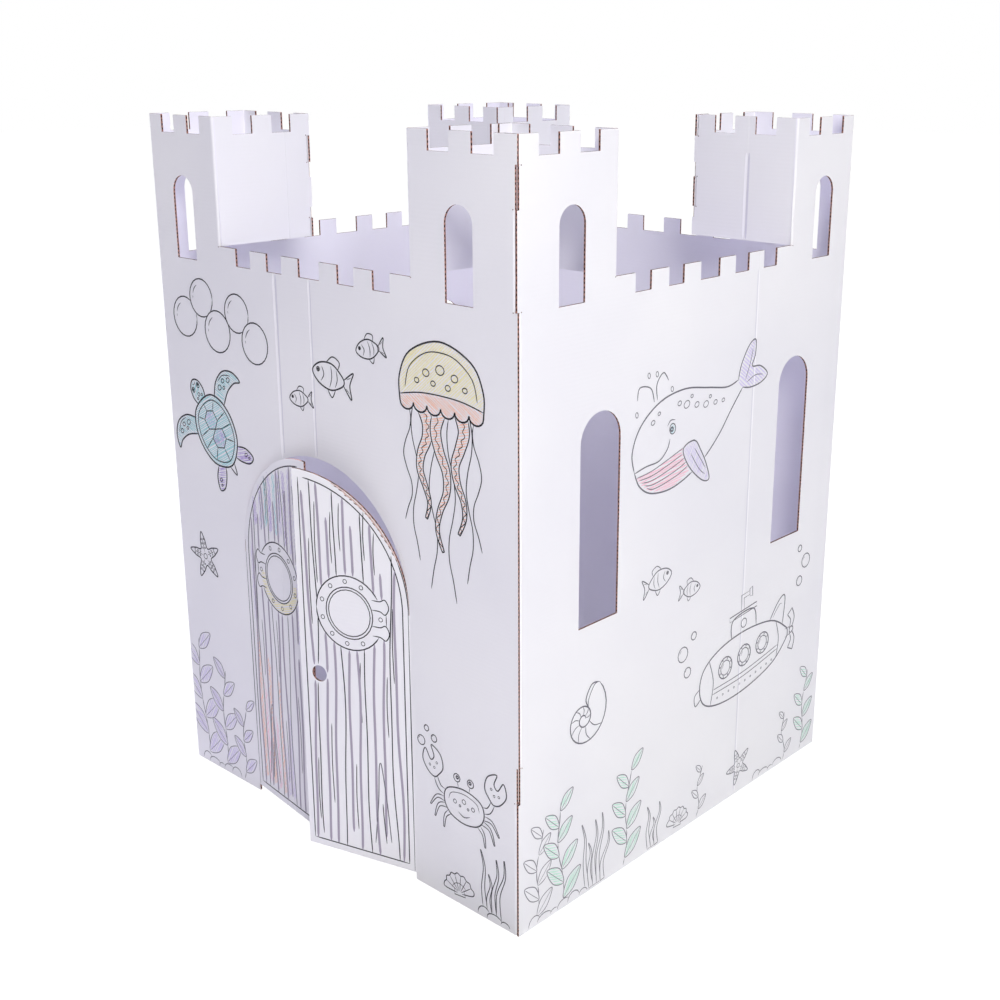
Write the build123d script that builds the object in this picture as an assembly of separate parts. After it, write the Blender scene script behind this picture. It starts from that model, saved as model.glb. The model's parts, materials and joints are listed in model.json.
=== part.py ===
from build123d import *
import os

# Walk-in play castle of white-lined corrugated board, in millimetres.
# Two folded sheets hook together at two corners to make four walls and four open towers.
# A pair of door leaves hangs on creases in the front wall.
# The origin is on the floor, under the middle of the back wall. The front wall faces -Y.

width = 813
depth = 813
wall_top = 950
tower_rise = 197
board = 3.5

# A fold keeps this radius on its inside. Boards that hook together keep the seam gap,
# and cuts that leave two edges facing each other keep the cut gap.
fold_inside = 1.0
seam_gap = 0.3
cut_gap = 0.6

# Each tower is a rectangle, along X and along Y.
near_tower_x = 203
near_tower_y = 200
left_tower_x = 173
left_tower_y = 186
right_tower_x = 198
right_tower_y = 173
far_tower_x = 190
far_tower_y = 203

# Battlements: three teeth on every tower face, and five notches in every wall between.
notch_depth = 27.5
wall_notch = 37
middle_notch = 49

# Hooked corners. One board folds behind its neighbour, both stop short at a relief, and then
# the neighbour folds behind. These heights run up from the floor and down from the tower top.
corner_flange = 28
foot_fold = 217
foot_relief = 58
upper_fold = 129
upper_relief = 56
top_hold = 37

# The same at the inner corner of each tower, up from the wall top and down from the tower top.
flap_foot_hold = 30
flap_foot_relief = 18
flap_upper_relief = 24
flap_upper_hold = 42
flap_top_fold = 34

# Round-headed windows, placed from the hooked corner or from the fold of their wall.
tower_window_width = 53
tower_window_height = 132
tower_window_drop = 28
tower_window_from_hook = 106
tower_window_from_fold = 82
wall_window_width = 88
wall_window_height = 318
wall_window_sill = 447
wall_window_from_hook = 170.5
wall_window_from_fold = 144

# Doorway, midway between the front towers, and its two leaves.
doorway_width = 403
doorway_height = 648
leaf_foot_gap = 12
right_leaf_open = 16
left_leaf_open = 7

# The right leaf has a finger hole near its free edge.
finger_hole = 27
finger_hole_height = 318
finger_hole_from_edge = 34

# Round-bottomed packing creases down the outer faces, from the hooked corner of their wall.
crease_width = 2.6
crease_depth = 0.5
front_crease = 504
side_crease = 549
back_crease = 377

tower_top = wall_top + tower_rise
right = width / 2
left = -width / 2
back = board / 2
front = back - depth
fold_back = board + seam_gap
bend_room = fold_back + fold_inside + 2 * board
doorway_centre = (near_tower_x + width - left_tower_x) / 2

up = Vector(0, 0, 1)
north = Vector(0, 1, 0)
south = Vector(0, -1, 0)
east = Vector(1, 0, 0)
west = Vector(-1, 0, 0)


def stack(low, below, middle, above, high):
    # Kinds of board end from low to high. The middle kind takes the height that is left.
    used = sum(height for kind, height in below + above)
    stretches = []
    for kind, height in [*below, (middle, high - low - used), *above]:
        stretches.append((kind, low, low + height))
        low += height
    return stretches


def neighbour(stretches):
    # What the other board does along the same corner.
    swap = {"over": "under", "under": "over", "short": "short"}
    return [(swap[kind], low, high) for kind, low, high in stretches]


front_ends = stack(
    0,
    [("under", foot_fold), ("short", foot_relief)],
    "over",
    [("short", cut_gap), ("under", upper_fold), ("short", upper_relief), ("over", top_hold)],
    tower_top,
)
side_flap_ends = stack(
    wall_top,
    [("over", flap_foot_hold), ("short", flap_foot_relief)],
    "under",
    [("short", flap_upper_relief), ("over", flap_upper_hold), ("short", cut_gap), ("under", flap_top_fold)],
    tower_top,
)
side_ends = neighbour(front_ends)
front_flap_ends = neighbour(side_flap_ends)


def folded_line(points, radius):
    if len(points) == 2:
        return Line(*points)
    return FilletPolyline(*points, radius=radius)


def strip(points, low, high):
    # Upright board whose outer face runs through the points clockwise, folding at each one.
    inward = [(end - start).normalized().cross(up) * board for start, end in zip(points, points[1:])]
    inner_points = [points[0] + inward[0]]
    for point, before, after in zip(points[1:], inward, inward[1:]):
        inner_points.append(point + before + after)
    inner_points.append(points[-1] + inward[-1])
    outer = folded_line(points, fold_inside + board)
    inner = folded_line(inner_points, fold_inside)
    plan = make_face([outer, inner, Line(outer @ 0, inner @ 0), Line(outer @ 1, inner @ 1)])
    return extrude(Pos(0, 0, low) * plan, high - low)


def end_points(corner, way, inward, kind):
    # The last stretch of a board on its way to a corner.
    joint = corner - way * bend_room
    fold = corner - way * fold_back
    if kind == "over":
        return [joint, corner]
    if kind == "short":
        return [joint, fold]
    return [joint, fold, fold + inward * corner_flange]


def run(points, low, high, start_ends, finish_ends):
    # A folded board through the points, with the ends that it has at each height.
    start_way = (points[1] - points[0]).normalized()
    finish_way = (points[-1] - points[-2]).normalized()
    middle = [points[0] + start_way * bend_room, *points[1:-1], points[-1] - finish_way * bend_room]
    pieces = [strip(middle, low, high)]
    for kind, foot, head in start_ends:
        ends = end_points(points[0], -start_way, start_way.cross(up), kind)
        pieces.append(strip(ends[::-1], foot, head))
    for kind, foot, head in finish_ends:
        ends = end_points(points[-1], finish_way, finish_way.cross(up), kind)
        pieces.append(strip(ends, foot, head))
    return pieces


def arch(arch_width, arch_height):
    # Round-headed shape that stands on the zero line of its plane.
    straight = arch_height - arch_width / 2
    return Pos(0, straight / 2) * Rectangle(arch_width, straight) + Pos(0, straight) * Circle(arch_width / 2)


def face_plane(corner, along):
    # A board's outer face, with distances along the board and heights above the floor.
    return Plane(origin=corner, x_dir=along, z_dir=along.cross(up))


def cut_through(corner, along, shapes):
    return [extrude(face_plane(corner, along) * shape, 2 * board, both=True) for shape in shapes]


def crease(corner, along, outward, place, low, high):
    # Shallow round-bottomed groove down an outer face.
    radius = (crease_width ** 2 / 4 + crease_depth ** 2) / (2 * crease_depth)
    centre = corner + along * place + outward * (radius - crease_depth) + up * (low + high) / 2
    return Pos(centre) * Cylinder(radius, high - low)


def tower_notches(start, length):
    # Two notches between three teeth, all of one width.
    part = length / 5
    notch = Rectangle(part, 2 * notch_depth)
    return [Pos(start + step * part, tower_top) * notch for step in (1.5, 3.5)]


def wall_notches(start, finish):
    # Five notches, the middle one wider, between six equal teeth.
    notches = [wall_notch, wall_notch, middle_notch, wall_notch, wall_notch]
    tooth = (finish - start - sum(notches)) / (len(notches) + 1)
    shapes = []
    for notch in notches:
        start += tooth
        shapes.append(Pos(start + notch / 2, wall_top) * Rectangle(notch, 2 * notch_depth))
        start += notch
    return shapes


def wall_shapes(length, hook_tower, fold_tower):
    # Battlements and tower windows of one wall, from its hooked corner to its fold.
    window = arch(tower_window_width, tower_window_height)
    sill = wall_top - tower_window_drop
    return [
        *tower_notches(0, hook_tower),
        *wall_notches(hook_tower, length - fold_tower),
        *tower_notches(length - fold_tower, fold_tower),
        Pos(tower_window_from_hook, sill) * window,
        Pos(length - tower_window_from_fold, sill) * window,
    ]


def side_windows():
    window = arch(wall_window_width, wall_window_height)
    places = (wall_window_from_hook, depth - wall_window_from_fold)
    return [Pos(place, wall_window_sill) * window for place in places]


def folded_sheet(hook_x, hook_y, fold_x, fold_y, end_x, end_y, front_creases):
    # A front wall from its hooked corner to its fold, then a side wall to the far corner.
    # The numbers are the sizes of the towers at the hook, at the fold and at the far end.
    hook = Vector(right, front, 0)
    fold = Vector(left, front, 0)
    far = Vector(left, back, 0)
    hook_fold = hook + west * hook_x
    front_fold = fold + east * fold_x
    side_fold = fold + north * fold_y
    far_fold = far + south * end_y
    fold_inner = front_fold + north * fold_y

    sheet = Part() + [
        *run([hook, fold, far], 0, wall_top, front_ends, side_ends),
        *run([hook, hook_fold, hook_fold + north * hook_y], wall_top, tower_top, [], front_flap_ends),
        *run([fold_inner, front_fold, fold, side_fold, fold_inner], wall_top, tower_top,
             front_flap_ends, side_flap_ends),
        *run([far_fold + east * end_x, far_fold, far], wall_top, tower_top, side_flap_ends, []),
    ]

    cuts = cut_through(hook, west, wall_shapes(width, hook_x, fold_x))
    cuts += cut_through(far, south, wall_shapes(depth, end_y, fold_y) + side_windows())
    cuts += [crease(hook, west, south, place, 0, wall_top) for place in front_creases]
    cuts.append(crease(far, south, west, side_crease, 0, wall_top))

    # Each flap, from its fold: its direction, its outer side, its length and where a crease
    # of its wall carries on.
    flaps = [
        (hook_fold, north, west, hook_y, [place - hook_x for place in front_creases]),
        (front_fold, north, east, fold_y, [width - fold_x - place for place in front_creases]),
        (side_fold, east, north, fold_x, [depth - fold_y - side_crease]),
        (far_fold, east, south, end_x, [side_crease - end_y]),
    ]
    for flap_fold, along, outward, length, places in flaps:
        cuts += cut_through(flap_fold, along, tower_notches(0, length))
        for place in places:
            if crease_width < place < length - bend_room:
                cuts.append(crease(flap_fold, along, outward, place, wall_top, tower_top))
    return sheet - cuts


def leaf_shape(side):
    # Half of the doorway's outline, less its cuts: the right leaf is side -1, the left one 1.
    outline = Pos(doorway_centre, 0) * arch(doorway_width - 2 * cut_gap, doorway_height - cut_gap)
    half = Rectangle(doorway_width / 2, doorway_height)
    middle = doorway_centre + side * (doorway_width / 2 + cut_gap) / 2
    return outline & Pos(middle, leaf_foot_gap + doorway_height / 2) * half


def door_leaf(shape, side, angle):
    # A leaf cut flat in the front wall, then swung out on the crease at its outer edge.
    hook = Vector(right, front, 0)
    closed = extrude(face_plane(hook, west) * shape, board)
    closed -= crease(hook, west, south, front_crease, 0, doorway_height)
    hinge = hook + west * (doorway_centre + side * doorway_width / 2)
    return closed.rotate(Axis(hinge, up), -side * angle)


hole_place = doorway_centre - cut_gap / 2 - finger_hole_from_edge
hole = Pos(hole_place, finger_hole_height) * Circle(finger_hole / 2)
right_door_leaf = door_leaf(leaf_shape(-1) - hole, -1, right_leaf_open)
left_door_leaf = door_leaf(leaf_shape(1), 1, left_leaf_open)

front_and_left_wall = folded_sheet(
    near_tower_x, near_tower_y, left_tower_x, left_tower_y, far_tower_x, far_tower_y,
    [doorway_centre, front_crease],
)
doorway = Pos(doorway_centre, 0) * arch(doorway_width, doorway_height)
front_and_left_wall -= cut_through(Vector(right, front, 0), west, [doorway])

# The back and right walls are a second sheet of the same form, turned half round.
right_and_back_wall = folded_sheet(
    far_tower_x, far_tower_y, right_tower_x, right_tower_y, near_tower_x, near_tower_y,
    [back_crease],
)
centre_line = Axis((0, front + depth / 2, 0), up)
right_and_back_wall = right_and_back_wall.rotate(centre_line, 180)

os.makedirs("parts", exist_ok=True)
export_step(front_and_left_wall, "parts/front_and_left_wall.step")
export_step(right_and_back_wall, "parts/right_and_back_wall.step")
export_step(right_door_leaf, "parts/right_door_leaf.step")
export_step(left_door_leaf, "parts/left_door_leaf.step")
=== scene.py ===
import json
import math
import random

import bpy
import bmesh
from mathutils import Matrix, Vector
from mathutils.bvhtree import BVHTree


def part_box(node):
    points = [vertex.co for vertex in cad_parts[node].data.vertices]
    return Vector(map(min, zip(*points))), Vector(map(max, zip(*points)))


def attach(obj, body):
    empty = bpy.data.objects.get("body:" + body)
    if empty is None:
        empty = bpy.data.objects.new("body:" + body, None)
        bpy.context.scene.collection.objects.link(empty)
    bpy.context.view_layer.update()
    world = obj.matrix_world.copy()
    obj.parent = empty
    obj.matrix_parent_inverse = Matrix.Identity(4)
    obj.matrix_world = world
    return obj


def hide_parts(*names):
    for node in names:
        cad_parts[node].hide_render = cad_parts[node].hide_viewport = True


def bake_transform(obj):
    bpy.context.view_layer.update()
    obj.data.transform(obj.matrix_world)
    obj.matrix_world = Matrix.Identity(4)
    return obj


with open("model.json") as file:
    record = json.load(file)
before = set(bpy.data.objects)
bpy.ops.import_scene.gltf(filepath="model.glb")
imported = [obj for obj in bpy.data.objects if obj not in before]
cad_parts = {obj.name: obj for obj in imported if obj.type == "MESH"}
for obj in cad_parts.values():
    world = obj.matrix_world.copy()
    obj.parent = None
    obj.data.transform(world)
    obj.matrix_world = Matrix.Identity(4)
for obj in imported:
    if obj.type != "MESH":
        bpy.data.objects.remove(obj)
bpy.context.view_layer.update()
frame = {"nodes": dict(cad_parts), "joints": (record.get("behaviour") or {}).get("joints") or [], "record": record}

# Walk-in castle of white corrugated board. Metres; the front wall faces -Y.

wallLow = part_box("front_and_left_wall")[0]
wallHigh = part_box("front_and_left_wall")[1]

castle = {
    "left": wallLow.x,
    "right": wallHigh.x,
    "front": wallLow.y,
    "back": wallHigh.y,
    "width": wallHigh.x - wallLow.x,
    "depth": wallHigh.y - wallLow.y,
    "wallTop": 0.950,
    "rightTowerDepth": 0.173,
}
mm = 0.001


def linearColour(red, green, blue):
    # 0-255 screen colour to the linear values that shaders take
    values = []
    for channel in (red, green, blue):
        share = channel / 255
        values.append(share / 12.92 if share <= 0.04045 else ((share + 0.055) / 1.055) ** 2.4)
    return (*values, 1.0)


# Camera: solved from the castle's straight edges.
camera = {
    "place": (1.5875, -2.06425, 1.240),
    "azimuth": 41.85,
    "elevation": 16.86,
    "roll": 0.29,
    "sensor": 36.0,
    "lens": 49.21,
    "shiftX": -0.051,
    "shiftY": -0.031,
}


def makeCamera():
    turn = math.radians(camera["azimuth"])
    tilt = math.radians(camera["elevation"])
    roll = math.radians(camera["roll"])
    level = math.cos(tilt)
    forward = Vector((-math.sin(turn) * level, math.cos(turn) * level, -math.sin(tilt)))
    right = forward.cross(Vector((0, 0, 1))).normalized()
    up = right.cross(forward)
    rolledRight = right * math.cos(roll) + up * math.sin(roll)
    rolledUp = up * math.cos(roll) - right * math.sin(roll)
    data = bpy.data.cameras.new("photo_camera")
    data.sensor_width = camera["sensor"]
    data.lens = camera["lens"]
    data.shift_x = camera["shiftX"]
    data.shift_y = camera["shiftY"]
    data.clip_end = 60
    holder = bpy.data.objects.new("photo_camera", data)
    bpy.context.scene.collection.objects.link(holder)
    turned = Matrix((rolledRight, rolledUp, -forward)).transposed().to_4x4()
    holder.matrix_world = Matrix.Translation(camera["place"]) @ turned
    bpy.context.scene.camera = holder


makeCamera()
print("camera placed")

# Soft studio light: a faint sky, a near lamp at the right, and larger ones all round.
studio = {
    "skyColour": (0.88, 0.875, 0.96, 1),
    "skyStrength": 0.03,
    "lamps": {
        "right_lamp": {"place": (3.19, -2.64, 2.75), "size": 1.8, "power": 123,
                       "colour": (1.0, 0.99, 0.97)},
        "high_lamp": {"place": (2.11, -1.88, 4.19), "size": 1.8, "power": 17,
                      "colour": (1.0, 1.0, 0.98)},
        "side_lamp": {"place": (9.22, -0.72, 6.49), "size": 4.4, "power": 74,
                      "colour": (0.97, 0.97, 1.0)},
        "left_lamp": {"place": (-4.24, -0.4, 4.74), "size": 2.4, "power": 380,
                      "colour": (0.82, 0.79, 1.0)},
        "back_lamp": {"place": (0.74, 3.78, 4.74), "size": 2.4, "power": 152,
                      "colour": (0.95, 0.98, 1.0)},
        "front_lamp": {"place": (0.43, -5.3, 3.94), "size": 2.4, "power": 10,
                       "colour": (0.85, 0.84, 1.0)},
    },
    "floorWhite": 0.90,
    "floorGlow": 1.13,
    "floorSize": 40,
    "floorPaper": (0.9, 0.9, 0.92, 1),
    "aimHeight": 0.55,
}


def makeLamp(name, place, size, power, colour):
    data = bpy.data.lights.new(name, "AREA")
    data.shape = "DISK"
    data.size = size
    data.energy = power
    data.color = colour
    lamp = bpy.data.objects.new(name, data)
    bpy.context.scene.collection.objects.link(lamp)
    lamp.location = place
    aim = Vector((0, castle["front"] / 2, studio["aimHeight"])) - Vector(place)
    lamp.rotation_euler = aim.to_track_quat("-Z", "Y").to_euler()


def seenDirectly(nodes, links):
    # 1 for the camera and for reflections, 0 for light that falls on the object
    path = nodes.new("ShaderNodeLightPath")
    first = nodes.new("ShaderNodeMath")
    first.operation = "MAXIMUM"
    second = nodes.new("ShaderNodeMath")
    second.operation = "MAXIMUM"
    links.new(path.outputs["Is Camera Ray"], first.inputs[0])
    links.new(path.outputs["Is Glossy Ray"], first.inputs[1])
    links.new(first.outputs[0], second.inputs[0])
    links.new(path.outputs["Is Transmission Ray"], second.inputs[1])
    return second.outputs[0]


def makeSky():
    world = bpy.data.worlds.new("pale_sky")
    bpy.context.scene.world = world
    world.use_nodes = True
    nodes, links = world.node_tree.nodes, world.node_tree.links
    nodes.clear()
    sky = nodes.new("ShaderNodeBackground")
    sky.inputs["Color"].default_value = studio["skyColour"]
    sky.inputs["Strength"].default_value = studio["skyStrength"]
    white = nodes.new("ShaderNodeBackground")
    white.inputs["Color"].default_value = (1, 1, 1, 1)
    mix = nodes.new("ShaderNodeMixShader")
    links.new(seenDirectly(nodes, links), mix.inputs[0])
    links.new(sky.outputs[0], mix.inputs[1])
    links.new(white.outputs[0], mix.inputs[2])
    links.new(mix.outputs[0], nodes.new("ShaderNodeOutputWorld").inputs[0])


def makeFloor():
    # It shows white where it is seen, and keeps a share of the castle's shadow.
    mesh = bpy.data.meshes.new("floor")
    half = studio["floorSize"] / 2
    corners = [(-half, -half, 0), (half, -half, 0), (half, half, 0), (-half, half, 0)]
    mesh.from_pydata(corners, [], [(0, 1, 2, 3)])
    floor = bpy.data.objects.new("floor", mesh)
    bpy.context.scene.collection.objects.link(floor)
    paper = bpy.data.materials.new("floor_paper")
    paper.use_nodes = True
    nodes, links = paper.node_tree.nodes, paper.node_tree.links
    nodes.clear()
    matt = nodes.new("ShaderNodeBsdfDiffuse")
    matt.inputs["Color"].default_value = studio["floorPaper"]
    glow = nodes.new("ShaderNodeEmission")
    glow.inputs["Strength"].default_value = studio["floorGlow"]
    share = nodes.new("ShaderNodeMath")
    share.operation = "MULTIPLY"
    share.inputs[1].default_value = studio["floorWhite"]
    links.new(seenDirectly(nodes, links), share.inputs[0])
    mix = nodes.new("ShaderNodeMixShader")
    links.new(share.outputs[0], mix.inputs[0])
    links.new(matt.outputs[0], mix.inputs[1])
    links.new(glow.outputs[0], mix.inputs[2])
    links.new(mix.outputs[0], nodes.new("ShaderNodeOutputMaterial").inputs[0])
    mesh.materials.append(paper)


for lampName, lamp in studio["lamps"].items():
    makeLamp(lampName, **lamp)
makeSky()
makeFloor()
bpy.context.scene.view_settings.view_transform = "Standard"
print("studio lit")

# Corrugated board: two white liners with a brown fluted sheet between. The flutes run level.
cardboard = {
    "thick": 3.5 * mm,
    "liner": 0.36 * mm,
    "flutePitch": 6.3 * mm,
    "fluteSheet": 0.42 * mm,
    "glueLine": 2.1 * mm,
    "samplesPerFlute": 8,
    "recess": 0.2 * mm,
    "openDepth": 7 * mm,
    "slopingRows": 7,
    "topRim": 0.3 * mm,
    "topSink": 1.4 * mm,
    "thinFactor": 1.2,
    "smoothAngle": 30,
    "white": (238, 237, 240),
    "whiteShade": (232, 231, 236),
    # Inside liner: the paper's white with a lavender tint that is painted shade for the castle's shaded inside
    "paintedShadeInsideLight": (238, 236, 245),
    "paintedShadeInsideDark": (233, 231, 241),
    "brown": (182, 136, 122),
    "brownShade": (140, 96, 84),
    # Hollows: near-black painted shade for the unlit insides of the flutes
    "fluteHollowShade": (30, 16, 16),
    "fluteHollowShadeDark": (14, 7, 8),
    "crushed": (120, 76, 68),
    "fringe": (240, 204, 196),
    "fringeShade": (222, 172, 160),
}


def newMaterial(name):
    material = bpy.data.materials.new(name)
    material.use_nodes = True
    nodes, links = material.node_tree.nodes, material.node_tree.links
    nodes.clear()
    shader = nodes.new("ShaderNodeBsdfPrincipled")
    links.new(shader.outputs[0], nodes.new("ShaderNodeOutputMaterial").inputs[0])
    place = nodes.new("ShaderNodeTexCoord").outputs["Object"]
    return material, nodes, links, shader, place


def addNoise(nodes, links, place, scale, detail=3.0, roughness=0.5, stretch=None):
    noise = nodes.new("ShaderNodeTexNoise")
    noise.inputs["Scale"].default_value = scale
    noise.inputs["Detail"].default_value = detail
    noise.inputs["Roughness"].default_value = roughness
    if stretch:
        mapping = nodes.new("ShaderNodeMapping")
        mapping.inputs["Scale"].default_value = stretch
        links.new(place, mapping.inputs["Vector"])
        place = mapping.outputs[0]
    links.new(place, noise.inputs["Vector"])
    return noise.outputs["Fac"]


def addRamp(nodes, links, value, stops):
    ramp = nodes.new("ShaderNodeValToRGB")
    ramp.color_ramp.elements[0].position, ramp.color_ramp.elements[0].color = stops[0]
    ramp.color_ramp.elements[1].position, ramp.color_ramp.elements[1].color = stops[-1]
    for position, colour in stops[1:-1]:
        ramp.color_ramp.elements.new(position).color = colour
    links.new(value, ramp.inputs[0])
    return ramp.outputs[0]


def addBump(nodes, links, height, distance, strength=1.0, below=None):
    bump = nodes.new("ShaderNodeBump")
    bump.inputs["Distance"].default_value = distance
    bump.inputs["Strength"].default_value = strength
    links.new(height, bump.inputs["Height"])
    if below:
        links.new(below, bump.inputs["Normal"])
    return bump.outputs[0]


def addMath(nodes, links, operation, first, second):
    step = nodes.new("ShaderNodeMath")
    step.operation = operation
    for slot, value in zip(step.inputs, (first, second)):
        if isinstance(value, (int, float)):
            slot.default_value = value
        else:
            links.new(value, slot)
    return step.outputs[0]


def linerMaterial(name, light, dark):
    # White paper over flutes: a faint washboard, paper grain, and slow waves in the panel.
    material, nodes, links, shader, place = newMaterial(name)
    cloud = addNoise(nodes, links, place, 2.4, 2.0)
    colour = addRamp(nodes, links, cloud, [(0.36, linearColour(*dark)), (0.62, linearColour(*light))])
    links.new(colour, shader.inputs["Base Color"])
    split = nodes.new("ShaderNodeSeparateXYZ")
    links.new(place, split.inputs[0])
    turns = addMath(nodes, links, "MULTIPLY", split.outputs["Z"], 2 * math.pi / cardboard["flutePitch"])
    washboard = addMath(nodes, links, "COSINE", turns, 0)
    patches = addNoise(nodes, links, place, 9.0, 2.0)
    washboard = addMath(nodes, links, "MULTIPLY", washboard, patches)
    waves = addBump(nodes, links, addNoise(nodes, links, place, 4.2, 1.0), 0.0035)
    ribs = addBump(nodes, links, washboard, 0.00004, below=waves)
    grain = addNoise(nodes, links, place, 620.0, 4.0, 0.6)
    normal = addBump(nodes, links, grain, 0.00005, below=ribs)
    links.new(normal, shader.inputs["Normal"])
    rough = addNoise(nodes, links, place, 60.0, 3.0)
    spread = nodes.new("ShaderNodeMapRange")
    spread.inputs["To Min"].default_value = 0.50
    spread.inputs["To Max"].default_value = 0.68
    links.new(rough, spread.inputs["Value"])
    links.new(spread.outputs[0], shader.inputs["Roughness"])
    shader.inputs["Specular IOR Level"].default_value = 0.35
    return material


def kraftMaterial(name, light, dark, scale):
    # Paper with fibres between two tones: bare brown paper, the cut liner edge, and the painted shade of the flute
    # hollows
    material, nodes, links, shader, place = newMaterial(name)
    fibre = addNoise(nodes, links, place, scale, 5.0, 0.65, (1, 1, 3))
    stops = [(0.34, linearColour(*dark)), (0.66, linearColour(*light))]
    links.new(addRamp(nodes, links, fibre, stops), shader.inputs["Base Color"])
    links.new(addBump(nodes, links, fibre, 0.0001), shader.inputs["Normal"])
    shader.inputs["Roughness"].default_value = 0.92
    shader.inputs["Specular IOR Level"].default_value = 0.2
    return material


whiteLiner = linerMaterial("white_liner", cardboard["white"], cardboard["whiteShade"])
# The inside faces get a copy of the liner whose lavender tint is painted shade.
paintedShadeInnerLiner = linerMaterial("painted_shade_inside_liner", cardboard["paintedShadeInsideLight"], cardboard["paintedShadeInsideDark"])
flutePaper = kraftMaterial("brown_flutes", cardboard["brown"], cardboard["brownShade"], 900.0)
cutLiner = kraftMaterial("cut_liner_edge", cardboard["fringe"], cardboard["fringeShade"], 700.0)
# flute_shade is this painted shade, for the walls and floors of the open flutes.
fluteShade = kraftMaterial("flute_shade", cardboard["fluteHollowShade"], cardboard["fluteHollowShadeDark"], 500.0)
# The level-cut finish mottles the cut flutes' brown with the painted shade of the open flutes.
levelCutWithHollowShade = kraftMaterial("level_cut_with_hollow_shade", cardboard["crushed"], cardboard["fluteHollowShade"], 90.0)
print("board finishes mixed")


def addPiece(name, mesh, body, materials, softShade=True):
    for material in materials:
        mesh.materials.append(material)
    if softShade:
        mesh.polygons.foreach_set("use_smooth", [True] * len(mesh.polygons))
        mesh.set_sharp_from_angle(angle=math.radians(cardboard["smoothAngle"]))
    piece = bpy.data.objects.new(name, mesh)
    bpy.context.scene.collection.objects.link(piece)
    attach(piece, body)
    return piece


# How cut edges are told from liners. A facing is the cosine of the turn between two faces.
edgeRules = {
    "creasePasses": 6,
    "creaseFacing": 0.6,
    "planeFacing": 0.99995,
    "sideFacing": 0.3,
    "levelFacing": 0.9999,
    "widest": 1.1,  # of the board's thickness, as is the next
    "narrowest": 0.6,
    "areaSlack": 1.06,
    "mergeAngle": 0.002,
    "cuspAngle": 2.3,
    "cuspReach": 3.2,  # in rims
    "channelStep": 0.00004,
    "insideReach": 0.97,  # share of the way from the middle out to the walls
    "insideFacing": 0.3,
}


def findCutFaces(sheet):
    # A liner has the board's thickness behind it. Every other face is a cut edge.
    tree = BVHTree.FromBMesh(sheet)
    limit = cardboard["thick"] * cardboard["thinFactor"]
    cuts = set()
    for face in sheet.faces:
        start = face.calc_center_median() - face.normal * 1e-6
        distance = tree.ray_cast(start, -face.normal)[3]
        if distance is None or distance > limit:
            cuts.add(face)
    # Faces in a pressed crease lean, but run on smoothly from a liner.
    for again in range(edgeRules["creasePasses"]):
        leaning = [face for face in cuts for edge in face.edges for other in edge.link_faces
                   if other not in cuts and other.normal.dot(face.normal) > edgeRules["creaseFacing"]]
        cuts.difference_update(leaning)
    return cuts


def flatGroups(faces):
    # Neighbouring cut faces that lie in one plane
    waiting = set(faces)
    groups = []
    while waiting:
        group = [waiting.pop()]
        for face in group:
            for edge in face.edges:
                for other in edge.link_faces:
                    facing = other.normal.dot(face.normal)
                    if other in waiting and facing > edgeRules["planeFacing"]:
                        waiting.remove(other)
                        group.append(other)
        groups.append(group)
    return groups


def cutStrip(group, cuts):
    # Frame of a straight cut edge: its corner, and its run, across and outward directions.
    outward = group[0].normal.copy()
    best = 0
    for face in group:
        for edge in face.edges:
            for other in edge.link_faces:
                sideways = abs(other.normal.dot(outward)) < edgeRules["sideFacing"]
                if other not in cuts and sideways and edge.calc_length() > best:
                    best = edge.calc_length()
                    across = other.normal.copy()
    if not best:
        return None
    run = outward.cross(across).normalized()
    across = run.cross(outward).normalized()
    points = [vert.co for face in group for vert in face.verts]
    base = points[0].copy()
    runs = [(point - base).dot(run) for point in points]
    widths = [(point - base).dot(across) for point in points]
    length = max(runs) - min(runs)
    width = max(widths) - min(widths)
    area = sum(face.calc_area() for face in group)
    share = width / cardboard["thick"]
    wrongWidth = share > edgeRules["widest"] or share < edgeRules["narrowest"]
    if wrongWidth or length * width > area * edgeRules["areaSlack"]:
        return None
    corner = base + run * min(runs) + across * min(widths)
    return corner, run, across, outward, length, width


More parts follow.
